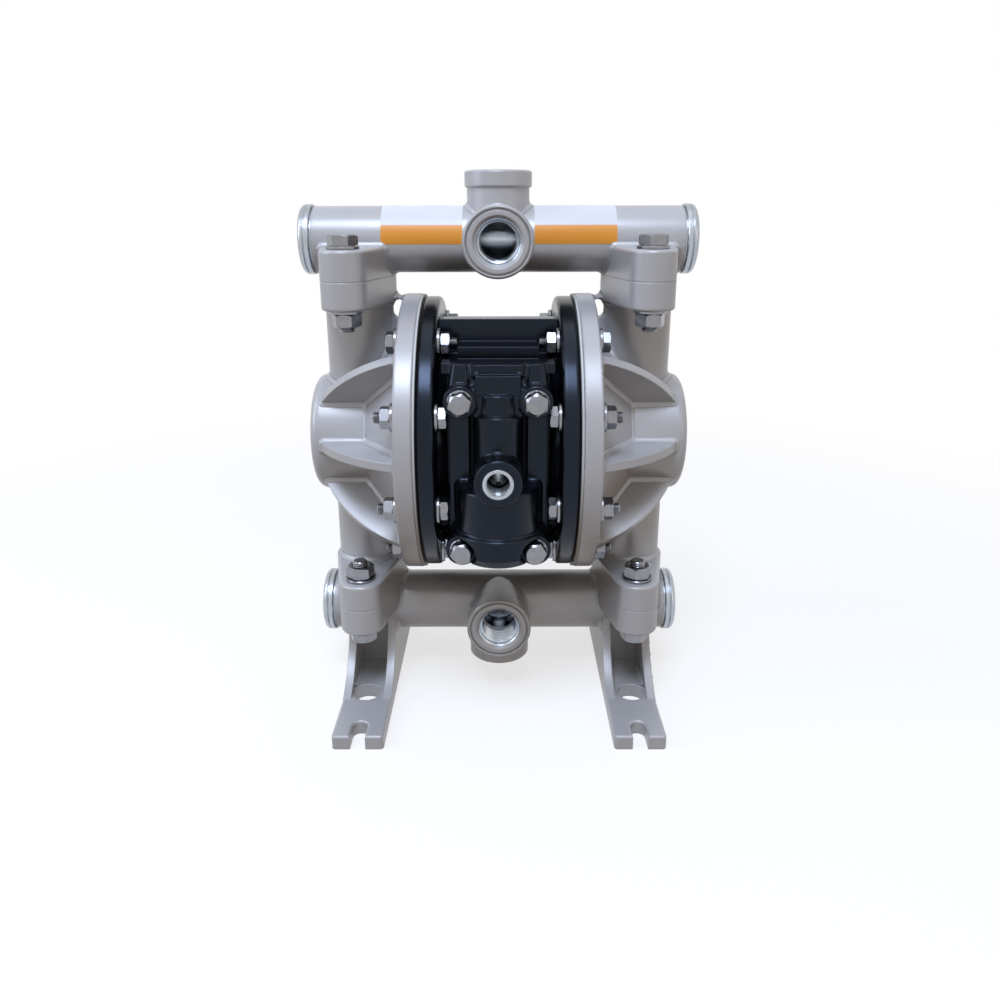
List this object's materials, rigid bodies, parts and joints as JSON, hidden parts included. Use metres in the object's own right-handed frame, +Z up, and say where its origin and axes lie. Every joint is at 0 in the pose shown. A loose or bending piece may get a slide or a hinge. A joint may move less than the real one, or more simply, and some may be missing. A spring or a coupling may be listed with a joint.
{
  "type": "air operated double diaphragm pump",
  "caption": "Metal pump with two diaphragm chambers on a common air driven rod, ball check valves, and two pipe manifolds on slotted feet.",
  "frame": {"origin": "on the floor below the middle of the diaphragm axis, at the bottom centre of the whole pump", "axes": "+Z up, -Y towards the air inlet and the two liquid ports, X along the diaphragm rod"},
  "size_m": [0.204, 0.17, 0.2881],
  "materials": {
    "cast_aluminium": "bead blasted pressure casting",
    "zinc_plated_cap": "turned and zinc plated",
    "black_nylon": "moulded, glossy",
    "stainless_fastener": "bright",
    "turned_steel": "turned and ground",
    "acetal": "machined",
    "seal_rubber": "moulded",
    "diaphragm_ptfe": "moulded",
    "plate_aluminium": "machined",
    "sintered_bronze": "sintered"
  },
  "bodies": {
    "pump": {"air_cap_gasket_left": "seal_rubber", "air_cap_gasket_right": "seal_rubber", "air_cap_left": "black_nylon", "air_cap_right": "black_nylon", "air_cap_screws": "stainless_fastener", "air_inlet_insert": "turned_steel", "centre_body": "black_nylon", "chamber_bolts": "stainless_fastener", "chamber_nuts": "stainless_fastener", "chamber_washers": "stainless_fastener", "diaphragm_left": "diaphragm_ptfe", "diaphragm_right": "diaphragm_ptfe", "end_cap_seals": "seal_rubber", "fluid_cap_left": "cast_aluminium", "fluid_cap_right": "cast_aluminium", "inlet_plug": "zinc_plated_cap", "inlet_seat_left": "acetal", "inlet_seat_right": "acetal", "lower_end_cap_left": "zinc_plated_cap", "lower_end_cap_right": "zinc_plated_cap", "lower_manifold": "cast_aluminium", "manifold_bolts": "stainless_fastener", "manifold_nuts": "stainless_fastener", "manifold_washers": "stainless_fastener", "outlet_plug": "zinc_plated_cap", "outlet_seat_left": "acetal", "outlet_seat_right": "acetal", "pilot_bushes": "acetal", "rod_bush_left": "acetal", "rod_bush_right": "acetal", "rod_seals": "seal_rubber", "seat_seals": "seal_rubber", "silencer": "sintered_bronze", "upper_end_cap_left": "zinc_plated_cap", "upper_end_cap_right": "zinc_plated_cap", "upper_manifold": "cast_aluminium", "valve_cover": "black_nylon", "valve_cover_bolts": "stainless_fastener", "valve_cover_gasket": "seal_rubber", "valve_plug": "acetal", "valve_sleeve": "plate_aluminium"},
    "rod": {"diaphragm_rod": "turned_steel", "air_side_plate_left": "plate_aluminium", "air_side_plate_right": "plate_aluminium", "fluid_side_plate_left": "plate_aluminium", "fluid_side_plate_right": "plate_aluminium", "diaphragm_screws": "stainless_fastener"},
    "pilot": {"pilot_rod": "turned_steel"},
    "spool": {"valve_spool": "plate_aluminium", "spool_seals": "seal_rubber"},
    "inlet_ball_left": {"inlet_ball_left": "diaphragm_ptfe"},
    "inlet_ball_right": {"inlet_ball_right": "diaphragm_ptfe"},
    "outlet_ball_left": {"outlet_ball_left": "diaphragm_ptfe"},
    "outlet_ball_right": {"outlet_ball_right": "diaphragm_ptfe"}
  },
  "joints": [
    {"name": "rod_stroke", "type": "slide", "parent": "pump", "child": "rod", "axis": [1, 0, 0], "range_m": [-0.006, 0.006], "deforming": ["diaphragm_left", "diaphragm_right"]},
    {"name": "pilot_shift", "type": "slide", "parent": "pump", "child": "pilot", "axis": [1, 0, 0], "range_m": [-0.002, 0.002]},
    {"name": "spool_shift", "type": "slide", "parent": "pump", "child": "spool", "axis": [0, 0, 1], "range_m": [0, 0.008]},
    {"name": "inlet_ball_left_lift", "type": "slide", "parent": "pump", "child": "inlet_ball_left", "axis": [0, 0, 1], "range_m": [0, 0.005]},
    {"name": "inlet_ball_right_lift", "type": "slide", "parent": "pump", "child": "inlet_ball_right", "axis": [0, 0, 1], "range_m": [0, 0.005]},
    {"name": "outlet_ball_left_lift", "type": "slide", "parent": "pump", "child": "outlet_ball_left", "axis": [0, 0, 1], "range_m": [0, 0.005]},
    {"name": "outlet_ball_right_lift", "type": "slide", "parent": "pump", "child": "outlet_ball_right", "axis": [0, 0, 1], "range_m": [0, 0.005]}
  ],
  "couplings": [
    {"joint": "pilot_shift", "follows": "rod_stroke", "ratio": 0.33333}
  ]
}
